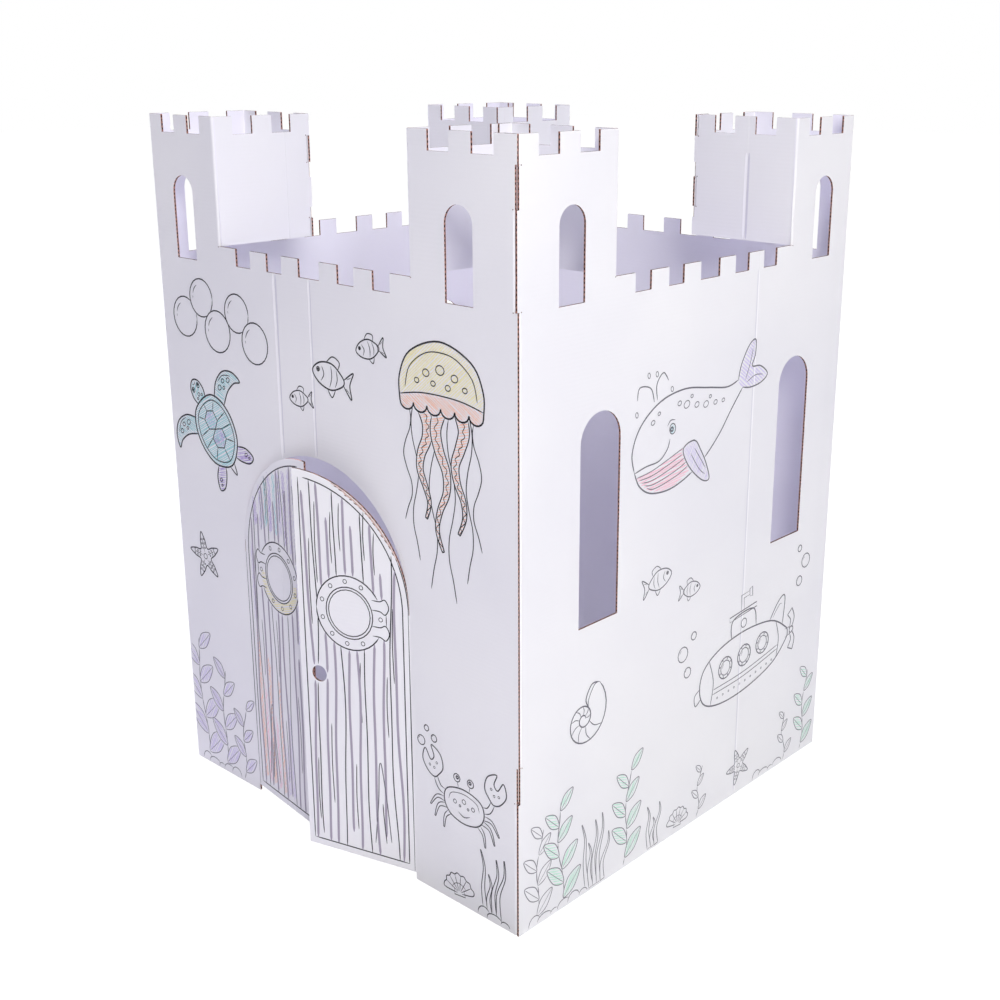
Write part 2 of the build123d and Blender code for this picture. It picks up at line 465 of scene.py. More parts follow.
def fillFlutes(edges, strip):
    # The open end of the flutes between two liner edges, seen along a cut.
    corner, run, across, outward, length, width = strip
    liner, depth, pitch = cardboard["liner"], cardboard["openDepth"], cardboard["flutePitch"]
    swing = width / 2 - liner - cardboard["fluteSheet"] / 2

    def quad(a, b, c, d, kind):
        edges.faces.new([edges.verts.new(point) for point in (a, b, c, d)]).material_index = kind

    end = run * length
    for side in (0, 1):
        lip = corner + across * (width * side)
        step = across * (liner if side == 0 else -liner)
        quad(lip, lip + end, lip + end + step, lip + step, 1)
        inside = lip + step
        # The channel walls and the floor behind take painted shade for the dark hollows of the flutes.
        quad(inside, inside + end, inside + end - outward * depth, inside - outward * depth, 3)
    floor = corner - outward * depth
    quad(floor, floor + end, floor + end + across * width, floor + across * width, 3)

    climb = abs(run.z) * length
    samples = max(1, math.ceil(climb / pitch * cardboard["samplesPerFlute"]))
    rows = 2 if abs(outward.z) < 0.15 else cardboard["slopingRows"]
    grid = []
    for row in range(rows):
        sink = cardboard["recess"] + (depth - cardboard["recess"]) * row / (rows - 1)
        line = []
        for sample in range(samples + 1):
            spot = corner + run * (length * sample / samples) - outward * sink
            turn = 2 * math.pi * spot.z / pitch
            slope = -swing * 2 * math.pi / pitch * math.sin(turn) * run.z
            glued = cardboard["glueLine"] * max(0, math.cos(turn))
            facing = (across - run * slope).normalized() * (cardboard["fluteSheet"] / 2)
            middle = spot + across * (width / 2 + swing * math.cos(turn))
            below = middle - facing - across * glued
            line.append((edges.verts.new(middle + facing), edges.verts.new(below)))
        grid.append(line)
    # Both faces of the fluted sheet take the same painted shade; its front edge stays brown paper.
    for near, far in zip(grid, grid[1:]):
        for sample in range(samples):
            for side in (0, 1):
                edges.faces.new((near[sample][side], near[sample + 1][side],
                                 far[sample + 1][side], far[sample][side])).material_index = 3
    for first, second in zip(grid[0], grid[0][1:]):
        edges.faces.new((first[0], second[0], second[1], first[1])).material_index = 0


def levelCuts(sheet, level, edges):
    # Tops and feet, cut along the flutes: a shallow channel between two liner edges.
    channel = sheet.copy()
    channel.faces.ensure_lookup_table()
    others = [face for face in channel.faces if face.index not in level]
    bmesh.ops.delete(channel, geom=others, context="FACES")
    bmesh.ops.dissolve_limit(channel, angle_limit=edgeRules["mergeAngle"],
                             verts=channel.verts[:], edges=channel.edges[:])
    whole = channel.faces[:]
    # Sharp corners, where a rounded fold meets a square step, take no rim.
    cusps = [vert.co.copy() for vert in channel.verts
             if len(vert.link_edges) == 2 and vert.calc_edge_angle(0) > edgeRules["cuspAngle"]]
    bmesh.ops.inset_region(channel, faces=whole, thickness=cardboard["topRim"], use_boundary=True)
    for face in channel.faces:
        face.material_index = 1
    # The channel's floor and walls take that finish: brown paper mottled with painted shade where the flutes lie
    # open.
    for face in whole:
        face.material_index = 2
        for vert in face.verts:
            for cusp in cusps:
                if (vert.co - cusp).length < cardboard["topRim"] * edgeRules["cuspReach"]:
                    vert.co = cusp
    walls = bmesh.ops.inset_region(channel, faces=whole, thickness=edgeRules["channelStep"],
                                   use_boundary=True)
    for face in walls["faces"]:
        face.material_index = 2
    sunk = {vert: face.normal.z for face in whole for vert in face.verts}
    for vert, side in sunk.items():
        vert.co.z -= math.copysign(cardboard["topSink"], side)
    mesh = bpy.data.meshes.new("level_cuts")
    channel.to_mesh(mesh)
    channel.free()
    edges.from_mesh(mesh)
    bpy.data.meshes.remove(mesh)


def dressBoard(node, body):
    # White liners from the node's own faces. Straight cut edges are opened onto their flutes, level ones become
    # shallow channels, and the rest keep the cut-edge finish.
    sheet = bmesh.new()
    sheet.from_mesh(frame["nodes"][node].data)
    bmesh.ops.remove_doubles(sheet, verts=sheet.verts, dist=1e-6)
    sheet.faces.index_update()
    cuts = findCutFaces(sheet)
    edges = bmesh.new()
    level = [face for face in cuts if abs(face.normal.z) > edgeRules["levelFacing"]]
    levelCuts(sheet, {face.index for face in level}, edges)
    opened, closed = [], 0
    for group in flatGroups(cuts.difference(level)):
        strip = cutStrip(group, cuts)
        if strip:
            fillFlutes(edges, strip)
            opened += group
        else:
            closed += 1
            for face in group:
                face.material_index = 1
    # Faces on the inside of the walls take the inside liner, tinted with painted shade.
    middle = Vector(((castle["left"] + castle["right"]) / 2, (castle["front"] + castle["back"]) / 2, 0))
    for face in sheet.faces:
        spot = face.calc_center_median()
        inward = Vector((middle.x - spot.x, middle.y - spot.y, 0))
        reach = max(abs(inward.x) * 2 / castle["width"], abs(inward.y) * 2 / castle["depth"])
        facing = face.normal.dot(inward.normalized())
        inside = reach > edgeRules["insideReach"] and facing > edgeRules["insideFacing"]
        if face.material_index == 0 and inside:
            face.material_index = 2
    bmesh.ops.delete(sheet, geom=opened + level, context="FACES")
    print(node, "cut edges opened", len(opened), "left shut", closed)

    liners = bpy.data.meshes.new(node + "_liners")
    sheet.to_mesh(liners)
    sheet.free()
    piece = addPiece(node + "_liners", liners, body, [whiteLiner, cutLiner, paintedShadeInnerLiner])
    flatten = piece.modifiers.new("flat_panels", "WEIGHTED_NORMAL")
    flatten.keep_sharp = True
    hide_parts(node)
    flutes = bpy.data.meshes.new(node + "_flutes")
    edges.to_mesh(flutes)
    edges.free()
    addPiece(node + "_flutes", flutes, body,
             [flutePaper, cutLiner, levelCutWithHollowShade, fluteShade])


for body, members in frame["record"]["behaviour"]["bodies"].items():
    for node in members:
        dressBoard(node, body)
print("boards dressed")

# Printed line drawings, in millimetres on each wall: u to the right, v up, seen from outside.
drawing = {
    "inkLift": 0.22 * mm,
    "pencilLift": 0.10 * mm,
    "liftStep": 0.004 * mm,
    "taper": 7.0,
    "fineStep": 2.5,
    "lineScale": {"dark": 1.4, "soft": 1.15, "mid": 1.25, "pale": 1.1},
    "topLimit": 921.5,
    "cornerMargin": 3,
    "inks": {
        "dark": (40, 38, 46),
        "soft": (66, 64, 72),
        "mid": (108, 106, 115),
        "pale": (132, 130, 138),
        "plank": (166, 158, 174),
        "worn": (206, 176, 166),
        # gap: dark dashes of painted shade in the open flutes along the worn edge
        "gap": (66, 42, 40),
        # Painted highlight and painted shade along the pressed creases
        "creaseLight": (252, 251, 255),
        "creaseShade": (216, 214, 226),
    },
    "pencils": {
        "teal": (150, 208, 214),
        "violet": (172, 150, 212),
        "yellow": (238, 229, 168),
        "peach": (246, 190, 160),
        "pink": (240, 190, 206),
        "lilac": (206, 196, 232),
        "green": (190, 230, 212),
    },
    "seed": 11,
}
chance = random.Random(drawing["seed"])


def printMaterial(name, colour, cover):
    # Ink or pencil that breaks up over the paper's grain
    material, nodes, links, shader, place = newMaterial(name)
    grain = addNoise(nodes, links, place, 1100.0 if cover < 0.9 else 700.0, 3.0, 0.65)
    paper = linearColour(*cardboard["white"])
    stops = [(0.62 - cover * 0.5, paper), (0.72 - cover * 0.4, linearColour(*colour))]
    links.new(addRamp(nodes, links, grain, stops), shader.inputs["Base Color"])
    links.new(addBump(nodes, links, grain, 0.00003), shader.inputs["Normal"])
    shader.inputs["Roughness"].default_value = 0.6
    shader.inputs["Specular IOR Level"].default_value = 0.3
    return material


inkMaterials = {name: printMaterial(name + "_ink", colour, 1.0)
                for name, colour in drawing["inks"].items()}
pencilMaterials = {name: printMaterial(name + "_pencil", colour, 0.55)
                   for name, colour in drawing["pencils"].items()}

wallWidth = castle["width"] / mm
wallDepth = castle["depth"] / mm
hinges = {joint["child"]: joint for joint in frame["joints"]}


def leafPage(body):
    # Runs from the crease to the free edge, turned as far open as the leaf stands.
    hinge = hinges[body]
    toward = -hinge["axis"][2]
    turned = math.radians(-hinge["range_deg"][0]) * -toward
    run = Vector((toward * math.cos(turned), toward * math.sin(turned), 0))
    out = Vector((math.sin(turned), -math.cos(turned), 0))
    return Vector((hinge["pos_m"][0], hinge["pos_m"][1], 0)), run, out, body


def wallPage(x, y, run, out, z=0):
    return Vector((x, y, z)), Vector((*run, 0)), Vector((*out, 0)), "castle_walls"


towerFold = castle["back"] - castle["rightTowerDepth"]
pages = {
    "front": wallPage(castle["left"], castle["front"], (1, 0), (0, -1)),
    "right": wallPage(castle["right"], castle["front"], (0, 1), (1, 0)),
    "back": wallPage(castle["right"], castle["back"], (-1, 0), (0, 1)),
    "left": wallPage(castle["left"], castle["back"], (0, -1), (-1, 0)),
    "right_tower": wallPage(castle["right"], towerFold, (-1, 0), (0, -1), castle["wallTop"]),
    "right_leaf": leafPage("right_door"),
    "left_leaf": leafPage("left_door"),
}
strokes = {page: {"ink": [], "pencil": []} for page in pages}

# Holes in the walls that no line may cross: left, right, foot and spring height of each arch
sideWindows = [(126, 214, 447, 721), (625, 713, 447, 721)]
doorway = {"left": 190, "right": 593, "spring": 446.5}
holes = {"right": sideWindows, "left": sideWindows,
         "front": [(doorway["left"], doorway["right"], 0, doorway["spring"])]}
limits = {"front": wallWidth, "back": wallWidth, "right": wallDepth, "left": wallDepth}


def printable(page, u, v):
    if page not in limits:
        return True
    edge = drawing["cornerMargin"]
    if not (edge < u < limits[page] - edge and edge < v < drawing["topLimit"]):
        return False
    for left, right, foot, spring in holes.get(page, []):
        half = (right - left) / 2
        middle = (left + right) / 2
        if left - 2 < u < right + 2 and foot - 2 < v < spring:
            return False
        if v >= spring and math.hypot(u - middle, v - spring) < half + 2:
            return False
    return True


def smooth(points, closed=False, steps=6):
    # A smooth line through the given points
    count = len(points)
    line = []
    for index in range(count if closed else count - 1):
        if closed:
            four = [points[(index + offset) % count] for offset in (-1, 0, 1, 2)]
        else:
            four = [points[min(max(index + offset, 0), count - 1)] for offset in (-1, 0, 1, 2)]
        for step in range(steps):
            t = step / steps
            weights = (-t + 2 * t * t - t ** 3, 2 - 5 * t * t + 3 * t ** 3,
                       t + 4 * t * t - 3 * t ** 3, -t * t + t ** 3)
            line.append(tuple(sum(weight * point[axis] for weight, point in zip(weights, four)) / 2
                              for axis in (0, 1)))
    line.append(line[0] if closed else tuple(points[-1]))
    return line


def oval(u, v, wide, high=None, start=0, sweep=360, steps=None):
    high = high or wide
    steps = steps or max(8, int((8 + max(wide, high) * 0.5) * sweep / 360))
    angles = [math.radians(start + sweep * step / steps) for step in range(steps + 1)]
    return [(u + wide * math.cos(angle), v + high * math.sin(angle)) for angle in angles]


def around(reach, angle):
    return reach * math.cos(angle), reach * math.sin(angle)


def mirrored(points):
    return [(-u, v) for u, v in points]


def limb(points, start, end, steps=6):
    # Outline of an arm, leaf or blade that narrows along its middle line
    middle = smooth(points, steps=steps)
    left, right = [], []
    for index, (u, v) in enumerate(middle):
        before = middle[max(index - 1, 0)]
        after = middle[min(index + 1, len(middle) - 1)]
        du, dv = after[0] - before[0], after[1] - before[1]
        size = math.hypot(du, dv) or 1
        half = (start + (end - start) * index / (len(middle) - 1)) / 2
        left.append((u - dv / size * half, v + du / size * half))
        right.append((u + dv / size * half, v - du / size * half))
    return left + [middle[-1]] + right[::-1]


def fine(path):
    # The same line with its points close together
    line = [path[0]]
    for (ax, ay), (bx, by) in zip(path, path[1:]):
        pieces = max(1, math.ceil(math.hypot(bx - ax, by - ay) / drawing["fineStep"]))
        line += [(ax + (bx - ax) * step / pieces, ay + (by - ay) * step / pieces)
                 for step in range(1, pieces + 1)]
    return line


def within(point, outline):
    x, y = point
    crossed = False
    for (ax, ay), (bx, by) in zip(outline, outline[1:] + outline[:1]):
        if (ay > y) != (by > y) and x < ax + (y - ay) * (bx - ax) / (by - ay):
            crossed = not crossed
    return crossed


def hideUnder(lines, outline):
    # Breaks off every line where it runs under a shape that lies in front
    left, right = min(x for x, y in outline), max(x for x, y in outline)
    low, high = min(y for x, y in outline), max(y for x, y in outline)
    kept = []
    for path, *rest in lines:
        if (max(x for x, y in path) < left or min(x for x, y in path) > right
                or max(y for x, y in path) < low or min(y for x, y in path) > high):
            kept.append((path, *rest))
            continue
        part = []
        for point in fine(path) + [None]:
            if point and not within(point, outline):
                part.append(point)
            else:
                if len(part) > 1:
                    kept.append((part, *rest))
                part = []
    return kept


class Sketch:
    # A drawing in its own millimetres, put on a wall later; its steps keep their order
    def __init__(self):
        self.steps = []

    def step(self, kind, path, both, *rest):
        self.steps.append((kind, path, *rest))
        if both:
            self.steps.append((kind, mirrored(path), *rest))

    def line(self, points, width=1.5, closed=False, curved=True, both=False):
        self.step("line", smooth(points, closed) if curved else list(points), both, width)

    def ring(self, u, v, wide, high=None, width=1.3, both=False, **part):
        self.line(oval(u, v, wide, high, **part), width, curved=False, both=both)

    def shade(self, points, colour, angle=35, gap=3.0, curved=True, both=False):
        self.step("shade", smooth(points, True) if curved else list(points), both, colour, angle, gap)

    def solid(self, points, width=1.8, curved=True, both=False):
        # A closed shape in front of whatever was drawn before
        path = smooth(points, True) if curved else list(points) + [points[0]]
        for shape in (path, mirrored(path)) if both else (path,):
            self.steps.append(("front", shape))
            self.steps.append(("line", shape, width))


def put(sketch, page, u, v, size=1.0, turn=0, flip=False, tone="dark", colours=True):
    turn = math.radians(turn)
    cosine, sine = math.cos(turn) * size, math.sin(turn) * size
    side = -1 if flip else 1
    for kind, path, *rest in sketch.steps:
        moved = [(u + side * x * cosine - y * sine, v + side * x * sine + y * cosine) for x, y in path]
        if kind == "front":
            for layer in strokes[page].values():
                layer[:] = hideUnder(layer, moved)
        elif kind == "line":
            width = rest[0] * (0.5 + size / 2) * drawing["lineScale"][tone]
            strokes[page]["ink"].append((moved, width, tone))
        elif colours:
            hatch(page, moved, *rest)


def hatch(page, outline, colour, angle, gap):
    # Hand-coloured: uneven strokes kept inside an outline
    turn = math.radians(angle)
    cosine, sine = math.cos(turn), math.sin(turn)
    turned = [(x * cosine + y * sine, y * cosine - x * sine) for x, y in outline]
    low = min(y for x, y in turned)
    high = max(y for x, y in turned)
    level = low + gap * chance.uniform(0.2, 0.7)
    while level < high:
        crossings = []
        for (ax, ay), (bx, by) in zip(turned, turned[1:] + turned[:1]):
            if (ay > level) != (by > level):
                crossings.append(ax + (level - ay) * (bx - ax) / (by - ay))
        crossings.sort()
        for start, end in zip(crossings[::2], crossings[1::2]):
            start += chance.uniform(0.2, 1.6)
            end -= chance.uniform(0.2, 2.4)
            if end - start < 1.5:
                continue
            sway = chance.uniform(-0.9, 0.9)
            pieces = max(2, int((end - start) / 9))
            path = []
            for step in range(pieces + 1):
                x = start + (end - start) * step / pieces
                y = level + sway * math.sin(math.pi * step / pieces)
                path.append((x * cosine - y * sine, y * cosine + x * sine))
            strokes[page]["pencil"].append((path, gap * chance.uniform(0.42, 0.7), colour))
        level += gap * chance.uniform(0.8, 1.2)


def bubble(radius):
    sketch = Sketch()
    sketch.solid(oval(0, 0, radius), 1.5, curved=False)
    sketch.ring(0, 0, radius * 0.72, width=1.2, start=118, sweep=48)
    if radius > 16:
        sketch.ring(0, 0, radius * 0.72, width=1.2, start=176, sweep=10)
    return sketch


def turtle():
    sketch = Sketch()
    shell = [(0, 62), (30, 55), (48, 29), (51, -6), (37, -40), (0, -60),
             (-37, -40), (-51, -6), (-48, 29), (-30, 55)]
    sketch.line(shell, 2.0, closed=True)
    sketch.line([(x * 0.86, y * 0.86) for x, y in shell], 1.3, closed=True)
    plates = ([(0, 41), (15, 33), (15, 15), (0, 7), (-15, 15), (-15, 33), (0, 41)],
              [(0, 7), (17, -1), (16, -19), (0, -28), (-16, -19), (-17, -1), (0, 7)])
    for plate in plates:
        sketch.line(plate, curved=False)
    for path in ([(15, 33), (27, 44)], [(15, 15), (42, 16)], [(17, -1), (44, -6)],
                 [(16, -19), (32, -33)]):
        sketch.line(path, 1.3, both=True)
    for path in ([(0, 41), (0, 53)], [(0, -28), (0, -51)]):
        sketch.line(path, 1.3)
    head = [(-12, 59), (-17, 74), (-13, 91), (0, 99), (13, 91), (17, 74), (12, 59)]
    sketch.line(head, 1.8)
    for side in (-1, 1):
        sketch.ring(side * 8, 85, 3.6, 4.4, width=1.2)
        sketch.ring(side * 8.6, 85.6, 1.2, width=1.8)
    sketch.line([(-5, 93), (0, 91), (5, 93)], 1.1)
    flipper = [(35, 47), (56, 64), (84, 68), (106, 54), (114, 32), (98, 38), (74, 36), (49, 24)]
    sketch.line(flipper, 1.8, both=True)
    paddle = [(35, -43), (52, -56), (60, -76), (46, -80), (29, -68), (19, -55)]
    sketch.line(paddle, 1.8, both=True)
    sketch.line([(-7, -59), (0, -78), (7, -59)], 1.6)
    for x, y, r in ((60, 52, 5), (75, 56, 4), (88, 50, 4.5), (70, 46, 3), (46, -64, 3.5),
                    (50, -72, 2.2)):
        sketch.ring(x, y, r, r * 0.8, width=1.1, both=True)
    for x, y, r in ((0, 72, 3), (-7, 68, 2), (7, 68, 2)):
        sketch.ring(x, y, r, width=1.0)
    sketch.line([(62, 62), (80, 63), (98, 52)], 1.0, both=True)
    sketch.shade(shell, "teal", 28, 3.0)
    sketch.shade(flipper, "teal", -20, 3.4, both=True)
    sketch.shade(head, "teal", 60, 3.4)
    for plate, angle in zip(plates, (70, 110)):
        sketch.shade(plate[1:], "violet", angle, 3.2, curved=False)
    sketch.shade(paddle, "violet", 15, 3.4, both=True)
    return sketch


def jellyfish():
    sketch = Sketch()
    for x, sway, length in ((-74, 9, 190), (-58, -7, 250), (-20, 8, 290), (20, -8, 300),
                            (58, 7, 262), (74, -9, 205)):
        strand = [(x + sway * math.sin(step * 1.2), 6 - length * step / 9) for step in range(10)]
        sketch.line(strand, 1.3)
    for x, sway, length in ((-38, 10, 176), (38, 10, 186), (0, -12, 222)):
        middle = [(x + sway * math.sin(step * 1.35 + x), 4 - length * step / 7) for step in range(8)]
        frill = limb(middle, 26, 5)
        sketch.solid(frill, 1.5, curved=False)
        ripple = [(px + 3 * math.sin(index * 1.9), py)
                  for index, (px, py) in enumerate(smooth(middle))]
        sketch.line(ripple, 1.0)
        sketch.shade(frill, "peach", 15, 3.6, curved=False)
    dome = smooth([(-88, 4), (-88, 42), (-64, 82), (0, 104), (64, 82), (88, 42), (88, 4)])
    hem = []
    for lobe in range(6):
        hem += oval(73.3 - lobe * 29.3, 4, 14.6, 12, start=0, sweep=-180, steps=8)
    sketch.solid(dome + hem, 2.0, curved=False)
    seam = smooth([(-88, 14), (-45, 22), (0, 24), (45, 22), (88, 14)])
    sketch.shade([point for point in dome if point[1] > 15] + seam[::-1], "yellow", 40, 3.2,
                 curved=False)
    sketch.shade(seam + hem, "peach", -30, 3.4, curved=False)
    sketch.line([(-76, 26), (-66, 58), (-34, 82), (0, 88), (34, 82), (66, 58), (76, 26)], 1.2)
    sketch.line(seam, 1.4, curved=False)
    for x, y, r in ((0, 62, 9), (-30, 54, 7), (30, 54, 7), (-15, 40, 5), (16, 38, 5.5),
                    (-50, 40, 5), (51, 40, 5)):
        sketch.ring(x, y, r, r * 0.8, width=1.2)
    return sketch


def starfish():
    sketch = Sketch()
    rim, inner = [], []
    for arm in range(5):
        for offset, reach in ((-13, 27), (0, 40), (13, 27), (36, 15)):
            rim.append(around(reach, math.radians(90 + arm * 72 + offset)))
        angle = math.radians(90 + arm * 72)
        sketch.line([around(6, angle), around(30, angle)], 1.0)
        for reach in (14, 21, 28):
            for side in (-1, 1):
                inner.append(around(reach, angle + side * 3.2 / reach))
    sketch.line(rim, 1.8, closed=True)
    for x, y in inner:
        sketch.ring(x, y, 1.3, width=0.9)
    sketch.ring(0, 0, 4.5, width=1.2)
    return sketch


def crab():
    sketch = Sketch()
    for path in ([(27, -14), (42, -28), (46, -50)], [(34, -8), (56, -14), (66, -38)],
                 [(38, 0), (60, 0), (76, -20)]):
        sketch.solid(limb(path, 9, 2), 1.4, curved=False, both=True)
    sketch.line(limb([(36, 13), (54, 18), (64, 36)], 11, 8), 1.5, curved=False, both=True)
    claw = [(57, 38), (46, 54), (52, 76), (72, 86), (66, 68), (74, 60), (86, 76), (92, 56),
            (80, 38), (66, 32)]
    sketch.solid(claw, 1.8, both=True)
    for x, y in ((60, 58), (66, 48), (76, 50)):
        sketch.ring(x, y, 2, width=0.9, both=True)
    for side in (-1, 1):
        sketch.line([(side * 11, 30), (side * 14, 43)], 1.4)
        sketch.ring(side * 15, 49, 7, width=1.5)
        sketch.ring(side * 14, 50, 2.4, width=2.2)
    sketch.solid([(-44, 2), (-36, 24), (0, 33), (36, 24), (44, 2), (31, -19), (0, -27), (-31, -19)], 1.9)
    sketch.line([(-34, 6), (-27, 19), (0, 25), (27, 19), (34, 6)], 1.0)
    sketch.line([(-13, -10), (0, -15), (13, -10)], 1.4)
    for x, y, r in ((-20, 6, 3.5), (20, 6, 3.5), (0, 12, 4), (-9, 2, 2), (9, 2, 2)):
        sketch.ring(x, y, r, width=1.1)
    return sketch


def whale():
    sketch = Sketch()
    top = [(-172, 6), (-170, 40), (-140, 74), (-84, 92), (-20, 86), (40, 62), (92, 40), (126, 38)]
    tail = [(126, 38), (140, 62), (168, 86), (188, 88), (182, 62), (170, 46), (194, 36), (212, 14),
            (192, 6), (160, 10), (136, 20)]
    belly = [(136, 20), (98, -4), (50, -36), (-10, -60), (-80, -66), (-136, -50), (-164, -24), (-172, 6)]
    sketch.line(top, 2.0)
    sketch.line(tail, 1.9)
    sketch.line(belly, 2.0)
    sketch.line([(-172, 4), (-142, 2), (-108, -4), (-84, 6), (-74, 20)], 1.7)
    under = [(-168, -6), (-128, -12), (-70, -12), (-12, -10), (-20, -50), (-80, -64), (-134, -48),
             (-160, -24)]
    sketch.shade(under, "pink", 4, 4.6)
    sketch.shade(tail, "lilac", -35, 5.0)
    for groove in range(5):
        sketch.line([(-168 + groove * 5, -6 - groove * 7), (-128, -12 - groove * 8.2),
                     (-70, -12 - groove * 9.5), (-12 - groove * 4, -10 - groove * 9)], 1.2)
    sketch.shade(oval(-64, 34, 8, 9), "teal", 20, 2.6, curved=False)
    sketch.ring(-64, 34, 8, 9, width=1.4)
    sketch.ring(-66, 34, 3.4, width=2.4)
    sketch.line([(-76, 44), (-66, 50), (-54, 46)], 1.3)
    fin = [(-44, -14), (-34, -52), (-6, -90), (14, -98), (12, -70), (2, -38), (-12, -12)]
    sketch.solid(fin, 1.8)
    sketch.shade(fin, "lilac", 60, 4.0)
    sketch.line([(-26, -30), (-10, -66), (4, -84)], 1.1)
    sketch.line([(-14, -26), (0, -56), (8, -74)], 1.1)
    sketch.line([(146, 30), (164, 52), (178, 76)], 1.1)
    sketch.line([(150, 24), (176, 26), (198, 18)], 1.1)
    for side, reach in ((-1, 34), (1, 28)):
        sketch.line([(-96 + side * 4, 98), (-96 + side * 8, 124), (-96 + side * reach, 136),
                     (-96 + side * (reach + 10), 118)], 1.6)
    for x, y in ((-146, 96), (-52, 100), (-104, 146), (-84, 140)):
        sketch.ring(x, y, 3.2, 4.6, width=1.1)
    for x, y, r in ((-20, 58, 8), (6, 46, 6), (-38, 68, 5), (30, 36, 7), (56, 28, 5), (-4, 66, 3.5),
                    (44, 44, 3.5), (78, 22, 4), (-110, 66, 5), (-92, 74, 3.5)):
        sketch.ring(x, y, r, r * 0.78, width=1.2)
    return sketch


def submarine():
    sketch = Sketch()
    hull = [(-124, 0), (-110, 34), (-62, 53), (10, 56), (84, 42), (126, 14), (134, 0), (126, -14),
            (84, -40), (10, -52), (-62, -49), (-110, -32)]
    sketch.line(hull, 2.0, closed=True)
    sketch.line([(-96, 42), (-86, 0), (-96, -40)], 1.4)
    sketch.line([(98, 36), (106, 0), (98, -34)], 1.4)
    sketch.line([(-89, -14), (0, -18), (104, -12)], 1.2)
    sketch.line([(-90, -22), (0, -26), (103, -19)], 1.2)
    sketch.line([(-34, 55), (-28, 88), (30, 88), (38, 54)], 1.9)
    sketch.line([(-38, 88), (40, 88), (40, 96), (-38, 96), (-38, 88)], 1.5, curved=False)
    for shift in (0, 7):
        sketch.line([(-4 + shift, 96), (-4 + shift, 124 - shift), (20, 124 - shift)], 1.4, curved=False)
    sketch.line([(20, 114), (20, 127), (28, 129), (28, 112), (20, 114)], 1.4, curved=False)
    for x in (-52, 2, 56):
        sketch.ring(x, 12, 19, width=1.7)
        sketch.ring(x, 12, 13, width=1.3)
        sketch.ring(x, 12, 9, width=1.0, start=110, sweep=60)
        for spoke in range(8):
            angle = spoke * math.pi / 4 + 0.4
            sketch.ring(x + 16 * math.cos(angle), 12 + 16 * math.sin(angle), 1.1, width=0.8)
    sketch.ring(2, 72, 8, width=1.3)
    for x in range(-76, 100, 16):
        sketch.ring(x, -37 + abs(x) * 0.045, 1.6, width=0.9)
    sketch.line([(126, 8), (140, 7), (140, -7), (126, -8)], 1.5, curved=False)
    for side in (-1, 1):
        sketch.line(limb([(144, side * 4), (150, side * 20), (142, side * 36)], 6, 17), 1.6,
                    curved=False)
    sketch.ring(146, 0, 6, width=1.5)
    sketch.line([(78, 43), (106, 70), (126, 72), (118, 22)], 1.7)
    sketch.line([(88, 46), (108, 62), (116, 62)], 1.0)
    sketch.line([(-120, -14), (-136, -22), (-138, -4), (-123, 4)], 1.5)
    return sketch


def nautilus():
    sketch = Sketch()
    steps = 58

    def reach(angle):
        return 5.2 * math.exp(0.184 * angle)

    angles = [step / steps * 4.3 * math.pi for step in range(steps + 1)]
    spiral = [around(reach(angle), angle) for angle in angles]
    sketch.line(spiral, 1.8, curved=False)
    for angle in angles[28:steps - 4:3]:
        outer, inner = reach(angle), reach(angle - 2 * math.pi)
        bend = around((outer + inner) / 2, angle - 0.16)
        sketch.line([around(inner, angle), bend, around(outer, angle)], 1.2)
    endX, endY = spiral[-1]
    for bulge, width in ((13, 1.8), (7, 1.2)):
        sketch.line([(endX, endY), (endX * 0.86 - bulge, endY * 0.9 + bulge * 0.5),
                     (endX * 0.5 - bulge, endY * 0.5 + bulge * 0.5), (endX * 0.32, endY * 0.32)], width)
    return sketch


def smallFish(stripes=2):
    sketch = Sketch()
    body = [(-34, 0), (-20, 14), (4, 18), (24, 8), (30, 0), (24, -8), (4, -17), (-20, -13)]
    sketch.line(body, 1.6, closed=True)
    sketch.line([(28, 3), (46, 18), (41, 0), (46, -18), (28, -3)], 1.5)
    sketch.line([(-8, 17), (4, 28), (18, 24), (16, 13)], 1.3)
    sketch.line([(-2, -17), (8, -26), (14, -14)], 1.3)
    sketch.line([(-16, 10), (-11, 0), (-16, -10)], 1.2)
    sketch.ring(-23, 4, 3, width=1.2)
    sketch.ring(-23, 4, 0.9, width=1.6)
    for index in range(stripes):
        x = 2 + index * 11
        sketch.line([(x, 15 - index * 3), (x + 3, 0), (x, -14 + index * 3)], 1.1)
    sketch.line([(34, 6), (42, 11)], 0.9)
    sketch.line([(34, -6), (42, -11)], 0.9)
    return sketch


def kelp(height, leaves, lean, colour=None):
    sketch = Sketch()
    stem = [(lean * step / 6 + 5 * math.sin(step * 1.3), height * step / 6) for step in range(7)]
    sketch.line(stem, 1.7)
    path = smooth(stem)
    for leaf in range(leaves):
        x, y = path[int((leaf + 0.6) / leaves * (len(path) - 1))]
        side = -1 if leaf % 2 else 1
        size = height * (0.30 - 0.10 * leaf / leaves)
        tip = (x + side * size * 0.74, y + size * 0.72)
        blade = [(x, y), (x + side * size * 0.46, y + size * 0.14), tip,
                 (x + side * size * 0.2, y + size * 0.56)]
        sketch.solid(blade, 1.4)
        if colour:
            sketch.shade(blade, colour, side * 40 + 20, 4.2)
        sketch.line([(x, y), (x + side * size * 0.34, y + size * 0.32), tip], 0.9)
    return sketch


def seagrass(blades, height):
    sketch = Sketch()
    for blade in range(blades):
        x = (blade - (blades - 1) / 2) * 9
        tall = height * (0.62 + 0.38 * math.sin(1.1 + blade * 2.1) ** 2)
        lean = (blade - (blades - 1) / 2) * 7
        sketch.solid(limb([(x, 0), (x + lean * 0.2 - 4, tall * 0.4), (x + lean * 0.7 + 4, tall * 0.75),
                           (x + lean, tall)], 10, 1), 1.4, curved=False)
    return sketch


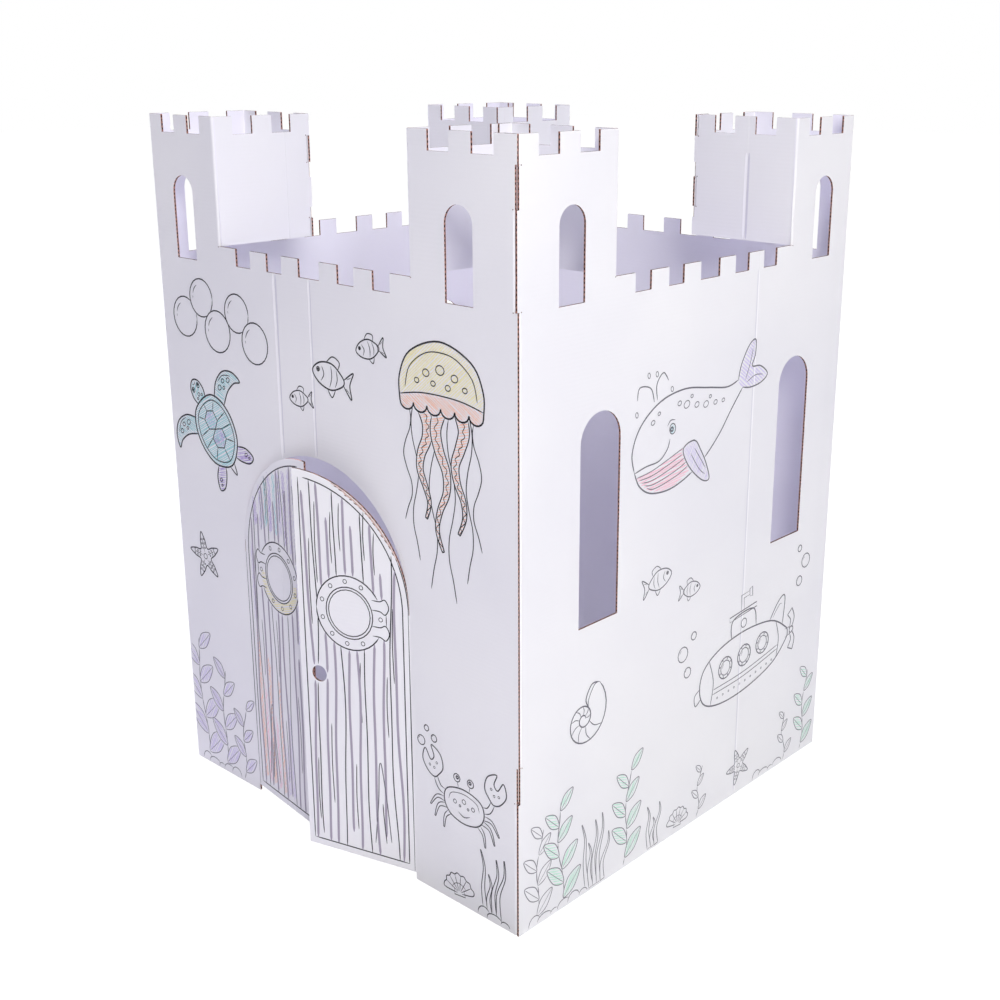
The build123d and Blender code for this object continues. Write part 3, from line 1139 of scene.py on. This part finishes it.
def scallop(radius):
    sketch = Sketch()
    edge = [around(radius * 0.84, math.radians(6))]
    for lobe in range(7):
        edge.append(around(radius, math.radians(18 + lobe * 24)))
        notch = math.radians(30 + lobe * 24)
        edge.append(around(radius * 0.92, notch))
        if lobe < 6:
            sketch.line([around(radius * 0.12, notch), edge[-1]], 1.1)
    sketch.line([(5, 0)] + edge + [(-5, 0)], 1.6)
    sketch.ring(0, 0, radius * 0.5, width=1.0, start=22, sweep=136)
    sketch.line([(-radius * 0.3, 8), (-radius * 0.34, -4), (radius * 0.34, -4), (radius * 0.3, 8)],
                1.5, curved=False)
    return sketch


def pebbles(count):
    sketch = Sketch()
    for stone in range(count):
        sketch.solid(oval(stone * 22, 0, 13 + 4 * math.sin(stone * 2.3),
                          10 + 4 * math.cos(stone * 1.7)), 1.5, curved=False)
    return sketch


# What stands on each wall
put(turtle(), "front", 132, 640, 1.02, 38)
for u, v, radius in ((64, 826, 33), (112, 862, 31), (152, 812, 34), (206, 848, 31), (250, 806, 33)):
    put(bubble(radius), "front", u, v)
put(jellyfish(), "front", 668, 770, 0.94)
put(smallFish(), "front", 430, 782, 1.15, -8)
put(smallFish(3), "front", 520, 836, 0.8, 12)
put(smallFish(), "front", 356, 736, 0.7, 6)
put(starfish(), "front", 72, 408, 1.1, 12, tone="soft")
put(crab(), "front", 702, 168, 0.95, tone="soft")
for u, tall, leaves, lean in ((40, 236, 7, -14), (92, 196, 6, 10), (146, 150, 5, 14)):
    put(kelp(tall, leaves, lean, "lilac"), "front", u, 6, tone="pale")
put(pebbles(5), "front", 34, 5, tone="pale")
put(seagrass(4, 118), "front", 760, 5, tone="soft")
put(scallop(34), "front", 690, 18, 1.0, 8, tone="soft")
put(pebbles(3), "front", 742, 5, tone="soft")
for u, v, radius in ((612, 250, 8), (624, 274, 5), (640, 262, 6)):
    put(bubble(radius), "front", u, v, tone="soft")

for page in ("right", "left"):
    tint = page == "right"
    put(whale(), page, 402, 690, 0.92, 14, tone="mid", colours=tint)
    put(nautilus(), page, 140, 300, 0.98, 0, tone="mid")
    put(submarine(), page, 560, 250, 1.02, 5, tone="mid")
    for u, v, radius in ((398, 286, 9), (384, 322, 13), (412, 346, 7), (726, 350, 9),
                         (744, 384, 13), (722, 412, 6)):
        put(bubble(radius), page, u, v, tone="mid")
    put(smallFish(), page, 316, 470, 0.9, 8, True, tone="mid")
    put(smallFish(3), page, 400, 430, 0.7, -4, True, tone="mid")
    for u, tall, leaves, lean, colour in ((36, 150, 6, 12, None), (96, 178, 7, -10, "green"),
                                          (242, 176, 7, 14, "green"), (438, 92, 4, 8, None),
                                          (706, 96, 4, -8, None), (762, 156, 6, 8, "green")):
        put(kelp(tall, leaves, lean, colour), page, u, 5, tone="pale", colours=tint)
    put(seagrass(5, 128), page, 172, 5, tone="pale")
    put(seagrass(3, 84), page, 318, 5, tone="pale")
    put(scallop(30), page, 384, 16, 1.0, -6, tone="pale")
    put(starfish(), page, 560, 52, 0.9, 20, tone="pale")
    put(pebbles(6), page, 34, 4, tone="pale")
    put(pebbles(4), page, 620, 4, tone="pale")
put(turtle(), "back", 300, 620, 1.0, -40, colours=False)
put(smallFish(), "back", 520, 700, 1.1, 6, colours=False)
put(smallFish(3), "back", 600, 650, 0.8, 10, colours=False)
put(crab(), "back", 250, 150, 0.95, colours=False)
put(jellyfish(), "back", 660, 560, 0.7, colours=False)
for u, tall, leaves, lean in ((60, 210, 7, 12), (116, 160, 6, -8), (520, 150, 6, 10),
                              (700, 200, 7, -12), (760, 150, 5, 6)):
    put(kelp(tall, leaves, lean), "back", u, 6)
put(seagrass(5, 120), "back", 420, 5)
print("wall drawings laid out")

# Plank door: a pale border, wavy grain, and a round porthole on each leaf
door = {
    "reach": (doorway["right"] - doorway["left"]) / 2,
    "spring": doorway["spring"],
    "foot": 12,
    "border": 12,
    "ringAt": (107, 430),
    "ringOuter": 60,
    "ringInner": 42,
    "holeAt": (167, 318),
    "holeRadius": 15.5,
    "planks": (24, 34, 50, 66, 82, 97, 112, 126, 141, 156, 170, 181),
    "seam": 4.4,
    "grain": 1.9,
    "shortGrain": ((30, 330, 452), (43, 236, 338), (59, 500, 566), (76, 520, 596),
                   (91, 250, 352), (105, 60, 176), (119, 528, 604), (135, 506, 588),
                   (149, 96, 236), (163, 470, 600), (176, 400, 540), (177, 60, 170)),
}


def plankTop(across, inset):
    # Height of the arch over a point this far from the crease, drawn in by the inset
    radius = door["reach"] - inset
    side = door["reach"] - across
    return door["spring"] + math.sqrt(max(radius * radius - side * side, 0))


def drawLeaf(page, seed, grainTone):
    wobble = random.Random(seed)
    reach, foot, border = door["reach"], door["foot"], door["border"]
    ink = strokes[page]["ink"]
    arc = [(reach - (reach - border) * math.cos(math.radians(turn)),
            door["spring"] + (reach - border) * math.sin(math.radians(turn)))
           for turn in range(0, 87, 3)]
    ink.append(([(border, foot + border), (border, door["spring"])] + arc, 1.9, "dark"))
    ink.append(([(2.4, foot + 2), (2.4, 230), (2.4, door["spring"] + 22)], 2.0, "dark"))
    ink.append(([(border, foot + border), (border + 12, foot + border),
                 (reach - border - 12, foot + border), (reach - border, foot + border)], 2.0, "dark"))
    edge = reach - border + 1
    ink.append(([(edge, foot + border), (edge, foot + border + 12), (edge, plankTop(edge, border) - 13),
                 (edge, plankTop(edge, border) - 1)], 1.8, "dark"))
    ringU, ringV = door["ringAt"]
    holeU, holeV = door["holeAt"]
    for index, across in enumerate(door["planks"]):
        width, tone = (door["seam"], "plank") if index % 3 != 1 else (door["grain"], grainTone)
        low = foot + border + (wobble.uniform(6, 46) if index % 4 == 2 else 0)
        high = plankTop(across, border) - (wobble.uniform(10, 60) if index % 3 == 2 else 0)
        phase, swing = wobble.uniform(0, 6.3), wobble.uniform(1.6, 4.2)
        heights = [low + (high - low) * step / 40 for step in range(41)]
        ink.append(([(across + swing * math.sin(phase + v / 92) + 1.2 * math.sin(v / 37 + phase * 2), v)
                     for v in heights], width, tone))
    for across, low, high in door["shortGrain"]:
        stroke = smooth([(across, low), (across + 1.5, (low + high) / 2), (across - 0.5, high)])
        ink.append((stroke, 1.6, grainTone))
    # A knot in the grain near the foot
    knot = smooth([(44, 52), (50, 120), (57, 176), (60, 188), (63, 176), (66, 120), (74, 44)])
    ink.append((knot, 1.8, "mid"))
    ink.append((smooth([(53, 48), (57, 96), (58, 118)]), 1.7, "dark"))
    ink[:] = hideUnder(ink, oval(holeU, holeV, door["holeRadius"]))
    # Porthole
    ink[:] = hideUnder(ink, oval(ringU, ringV, door["ringOuter"]))
    for radius, width in ((door["ringOuter"], 2.0), (door["ringInner"], 1.7),
                          (door["ringInner"] - 4.5, 1.5)):
        ink.append((oval(ringU, ringV, radius), width, "dark"))
    middle = (door["ringOuter"] + door["ringInner"]) / 2
    for bolt in range(10):
        angle = math.radians(30 + bolt * 300 / 9)
        spot = (ringU - middle * math.cos(angle), ringV + middle * math.sin(angle))
        ink.append((oval(*spot, 3.4), 1.2, "dark"))
    # Its hinge: two lugs in front of the ring, and a plate between them
    plate = [(ringU - 46, ringV + 12), (ringU - 66, ringV + 12), (ringU - 66, ringV - 12),
             (ringU - 46, ringV - 12)]
    ink[:] = hideUnder(ink, plate)
    ink.append(([plate[1], plate[2]], 1.6, "dark"))
    ink.append((oval(ringU - 56, ringV, 3.4), 1.2, "dark"))
    for lug in (-1, 1):
        v = ringV + lug * 21
        shape = smooth([(ringU - 41, v + 8), (ringU - 55, v + 8), (ringU - 64, v + 12),
                        (ringU - 70, v + 4), (ringU - 70, v - 4), (ringU - 64, v - 12),
                        (ringU - 55, v - 8), (ringU - 41, v - 8)])
        ink[:] = hideUnder(ink, shape)
        ink.append((shape, 1.7, "dark"))


drawLeaf("right_leaf", 5, "dark")
drawLeaf("left_leaf", 9, "mid")

# Where the right leaf was pushed out of the wall, its curved edge is worn down to the flutes; dark dashes along it
# are painted shade in the open flutes.
worn = {
    "from": 24,
    "to": 68,
    "width": 5.0,
    "step": 1.5,
    "gapEvery": 2,
    "gapLength": 5.4,
    "gapWidth": 2.3,
}


def wearEdge(page):
    wobble = random.Random(3)

    def spot(turn, inset):
        reach = door["reach"] - 0.6 - inset
        angle = math.radians(turn)
        return door["reach"] - reach * math.cos(angle), door["spring"] + reach * math.sin(angle)

    turn, count = worn["from"], 0
    while turn < worn["to"]:
        fade = min(1, (turn - worn["from"]) / 8, (worn["to"] - turn) / 8)
        wide = worn["width"] * (0.35 + 0.65 * fade) * wobble.uniform(0.7, 1.15)
        path = [spot(turn + worn["step"] * share, wide / 2) for share in (0, 0.6, 1.2)]
        strokes[page]["ink"].append((path, wide, "worn"))
        # The dashes are painted shade where the open flutes show through the wear.
        if count % worn["gapEvery"] == 0:
            reach = worn["gapLength"] * wobble.uniform(0.7, 1.2) / door["reach"] * 57.3  # degrees
            dash = [spot(turn, wide * 0.8), spot(turn + reach / 2, wide * 0.9), spot(turn + reach, wide)]
            strokes[page]["ink"].append((dash, worn["gapWidth"], "gap"))
        turn += worn["step"]
        count += 1
    # The printed outline carries on along the edge below that
    below = [spot(degrees, 1.2) for degrees in range(0, worn["from"] + 3, 3)]
    strokes[page]["ink"].append((below, 1.8, "dark"))


wearEdge("right_leaf")

# Pencil on the left leaf: place, width, foot, top and colour of each coloured plank
lowPlanks = (
    (20, 15, 34, 320, "peach"), (36, 13, 30, 230, "pink"), (52, 14, 34, 285, "peach"),
    (68, 13, 30, 180, "pink"), (84, 13, 28, 250, "peach"), (99, 12, 30, 140, "lilac"),
    (114, 12, 30, 200, "lilac"),
)
# The upper strips' lilac and violet are pencil and also painted shade that the right leaf casts.
highPlanks = (
    (18, 12, 330, 470, "lilac"), (34, 14, 500, 556, "violet"), (52, 14, 496, 580, "lilac"),
    (70, 12, 506, 596, "teal"), (84, 12, 500, 606, "violet"), (99, 12, 498, 612, "teal"),
    (114, 13, 500, 618, "lilac"), (130, 12, 490, 622, "violet"), (146, 12, 480, 626, "lilac"),
    (160, 12, 330, 628, "lilac"), (174, 12, 60, 628, "violet"),
)


def colourPlanks(planks, rise, narrow, drop, angle, gap):
    for across, wide, low, high, colour in planks:
        outline = [(across, low), (across + wide, low + rise),
                   (across + wide - narrow, high - drop), (across + 1, high)]
        hatch("left_leaf", outline, colour, angle, gap)


colourPlanks(lowPlanks, 10, 2, 24, 62, 3.2)
colourPlanks(highPlanks, 8, 1, 6, 68, 3.4)
ringU, ringV = door["ringAt"]
lower = oval(ringU, ringV, door["ringOuter"] - 1, start=180, sweep=180)
lower += oval(ringU, ringV, door["ringInner"] + 1, start=360, sweep=-180)
hatch("left_leaf", lower, "yellow", 20, 2.8)
print("door leaves drawn")

# Packing creases, each drawn as a painted highlight beside a painted shade line: page, place, foot, top, strength
# and lit side
pressed = (
    ("front", 309, 632, 921, 1.0, -1),
    ("front", 391.5, 651, 921, 0.45, -1),
    ("right", 549, 6, 921, 0.35, 1),
    ("left", 549, 6, 921, 0.35, 1),
    ("back", 436, 6, 921, 0.6, 1),
    ("right_tower", 91, 2, 140, 0.9, 1),
)
for page, place, foot, top, strength, lit in pressed:
    for shift, wide, colour in ((3.0 * lit, 5.4, "creaseLight"), (-2.4 * lit, 4.2, "creaseShade")):
        middle = place + shift * (0.5 + strength / 2)
        path = [(middle, foot), (middle, foot + 9), (middle, top - 9), (middle, top)]
        strokes[page]["ink"].insert(0, (path, wide * strength, colour))

# The creases that the leaves hang on: the wall's white liner carries on round each one.
hingeFold = {
    "along": (-2.4, -1.2, -0.1, 0.3, 0.7, 1.8, 3.0),
    "height": (-0.12, 0.06, 0.03, 0.0, 0.03, 0.06, -0.12),
    "thick": 0.45,
    "slit": 0.6,
}


def foldLiner(page):
    corner, run, out, body = pages[page]
    wallRun, wallOut = Vector((math.copysign(1, run.x), 0, 0)), Vector((0, -1, 0))
    section = []
    for drop in (0, hingeFold["thick"]):
        row = []
        for along, height in zip(hingeFold["along"], hingeFold["height"]):
            onWall = wallRun * along + wallOut * (height - drop)
            onLeaf = run * along + out * (height - drop)
            row.append(onWall.lerp(onLeaf, min(max(along / hingeFold["slit"], 0), 1)) * mm)
        section += row[::-1] if drop else row
    count = len(section)
    levels = (door["foot"], door["spring"])
    vertices = [corner + point + Vector((0, 0, level * mm)) for level in levels for point in section]
    faces = [(side, (side + 1) % count, (side + 1) % count + count, side + count)
             for side in range(count)]
    faces += [tuple(range(count)), tuple(range(2 * count - 1, count - 1, -1))]
    mesh = bpy.data.meshes.new(page + "_crease")
    mesh.from_pydata(vertices, [], faces)
    shape = bmesh.new()
    shape.from_mesh(mesh)
    bmesh.ops.recalc_face_normals(shape, faces=shape.faces[:])
    shape.to_mesh(mesh)
    shape.free()
    mesh.materials.append(whiteLiner)
    piece = bpy.data.objects.new(page + "_crease", mesh)
    bpy.context.scene.collection.objects.link(piece)
    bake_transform(piece)


foldLiner("right_leaf")
foldLiner("left_leaf")
print("door creases folded")


def printableParts(page, path):
    # The stretches of a line that lie on the board, without repeated points
    parts = [[]]
    for point in path:
        if not printable(page, *point):
            parts.append([])
        else:
            parts[-1].append(point)
    apart = [[point for index, point in enumerate(part)
              if index == 0 or math.dist(point, part[index - 1]) > 0.02] for part in parts]
    return [part for part in apart if len(part) > 1]


def ribbon(part, width):
    # The two edges of a drawn line, point by point. Open ends taper.
    closed = math.dist(part[0], part[-1]) < 0.6 and len(part) > 6
    travelled = [0]
    for first, second in zip(part, part[1:]):
        travelled.append(travelled[-1] + math.dist(first, second))
    sides = []
    for index, (u, v) in enumerate(part):
        before = part[index - 1] if index else (part[-2] if closed else part[0])
        after = part[index + 1] if index < len(part) - 1 else (part[1] if closed else part[-1])
        du, dv = after[0] - before[0], after[1] - before[1]
        size = math.hypot(du, dv) or 1
        near = min(travelled[index], travelled[-1] - travelled[index])
        share = 1 if closed else min(1, 0.35 + 0.65 * near / drawing["taper"])
        half = width / 2 * share
        for side in (1, -1):
            sides.append((u - dv / size * half * side, v + du / size * half * side))
    return sides


def layStrokes(page, kind, lift, palette):
    corner, run, out, body = pages[page]
    vertices, faces, kinds = [], [], []
    names = list(palette)
    for count, (path, width, colour) in enumerate(strokes[page][kind]):
        height = lift + drawing["liftStep"] * (count % 16)
        for part in printableParts(page, path):
            first = len(vertices)
            for u, v in ribbon(part, width):
                vertices.append(corner + run * (u * mm) + Vector((0, 0, v * mm)) + out * height)
            for index in range(len(part) - 1):
                a = first + index * 2
                faces.append((a, a + 1, a + 3, a + 2))
                kinds.append(names.index(colour))
    if not faces:
        return
    mesh = bpy.data.meshes.new(page + "_" + kind)
    mesh.from_pydata(vertices, [], faces)
    mesh.polygons.foreach_set("material_index", kinds)
    if mesh.polygons[0].normal.dot(out) < 0:
        mesh.flip_normals()
    addPiece(page + "_" + kind, mesh, body, list(palette.values()), softShade=False)


for page in pages:
    layStrokes(page, "pencil", drawing["pencilLift"], pencilMaterials)
    layStrokes(page, "ink", drawing["inkLift"], inkMaterials)
print("drawings printed")
